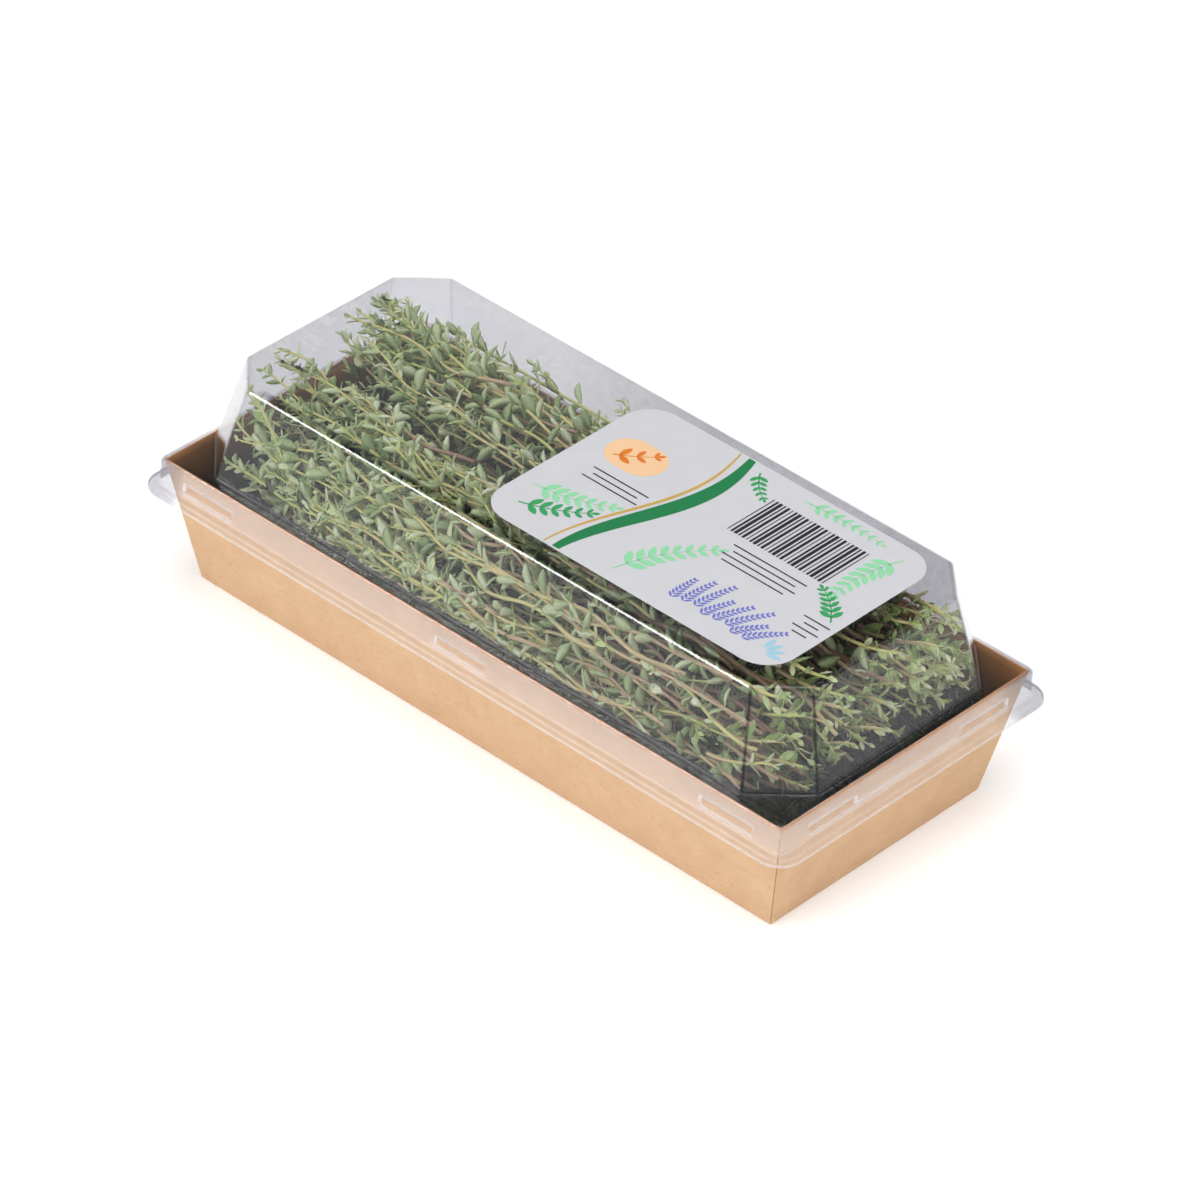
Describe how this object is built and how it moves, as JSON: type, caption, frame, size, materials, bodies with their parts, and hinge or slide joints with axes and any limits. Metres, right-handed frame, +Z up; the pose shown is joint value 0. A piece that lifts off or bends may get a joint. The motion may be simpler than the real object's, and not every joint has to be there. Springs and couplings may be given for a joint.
{
  "type": "packed thyme bundle",
  "caption": "Fresh thyme sprigs laid lengthwise in a tapered kraft tray under a clear press-on domed lid with a paper label.",
  "frame": {"origin": "middle of the tray's underside, on the surface that it stands on", "axes": "+X along the long side towards the cut ends of the stems, -X towards the leafy tips, +Y across to the back, +Z up"},
  "size_m": [0.2392, 0.1106, 0.0706],
  "materials": {
    "kraft_board": "uncoated kraft board outside, black film inside",
    "clear_sheet": "clear thermoformed plastic sheet, glossy",
    "label_paper": "coated white paper, printed",
    "thyme_green": "fresh leaves, grey green and matt, on yellow-green to brown stems"
  },
  "bodies": {
    "root": {"tray": "kraft_board", "lid": "clear_sheet", "label": "label_paper", "sprig_00": "thyme_green", "sprig_01": "thyme_green", "sprig_02": "thyme_green", "sprig_03": "thyme_green", "sprig_04": "thyme_green", "sprig_05": "thyme_green", "sprig_06": "thyme_green", "sprig_07": "thyme_green", "sprig_08": "thyme_green", "sprig_09": "thyme_green", "sprig_10": "thyme_green", "sprig_11": "thyme_green", "sprig_12": "thyme_green", "sprig_13": "thyme_green", "sprig_14": "thyme_green", "sprig_15": "thyme_green", "sprig_16": "thyme_green", "sprig_17": "thyme_green", "sprig_18": "thyme_green", "sprig_19": "thyme_green", "sprig_20": "thyme_green", "sprig_21": "thyme_green", "sprig_22": "thyme_green", "sprig_23": "thyme_green", "sprig_24": "thyme_green", "sprig_25": "thyme_green", "sprig_26": "thyme_green", "sprig_27": "thyme_green", "sprig_28": "thyme_green", "sprig_29": "thyme_green", "sprig_30": "thyme_green", "sprig_31": "thyme_green", "sprig_32": "thyme_green", "sprig_33": "thyme_green", "sprig_34": "thyme_green", "sprig_35": "thyme_green"}
  },
  "joints": []
}
